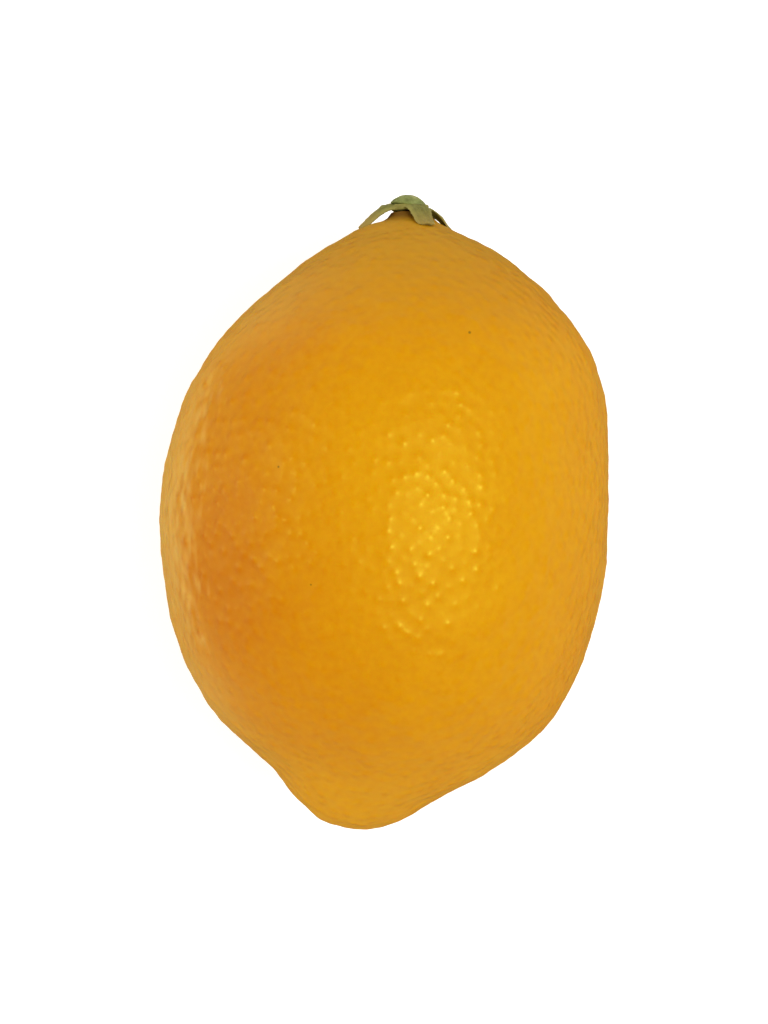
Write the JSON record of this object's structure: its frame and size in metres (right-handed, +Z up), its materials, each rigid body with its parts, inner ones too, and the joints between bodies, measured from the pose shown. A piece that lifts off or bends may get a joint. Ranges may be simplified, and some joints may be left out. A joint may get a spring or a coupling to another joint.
{
  "type": "lemon",
  "caption": "Whole lemon lying on its side as picked, with a blunt nipple, a short neck, a green star-shaped calyx and the stem end on it.",
  "frame": {"origin": "middle of the flat spot on the underside that the lemon rests on", "axes": "+Y along the lemon from the nipple to the stem, +X to the right seen from above with the stem up, +Z up"},
  "size_m": [0.0602, 0.0851, 0.0587],
  "materials": {
    "lemon_peel": "waxy pebbled citrus peel, semi-gloss",
    "calyx_green": "dull leathery sepals",
    "stem_green": "dull fibrous stem end"
  },
  "bodies": {
    "root": {"fruit": "lemon_peel", "calyx": "calyx_green", "stem_button": "stem_green"}
  },
  "joints": []
}
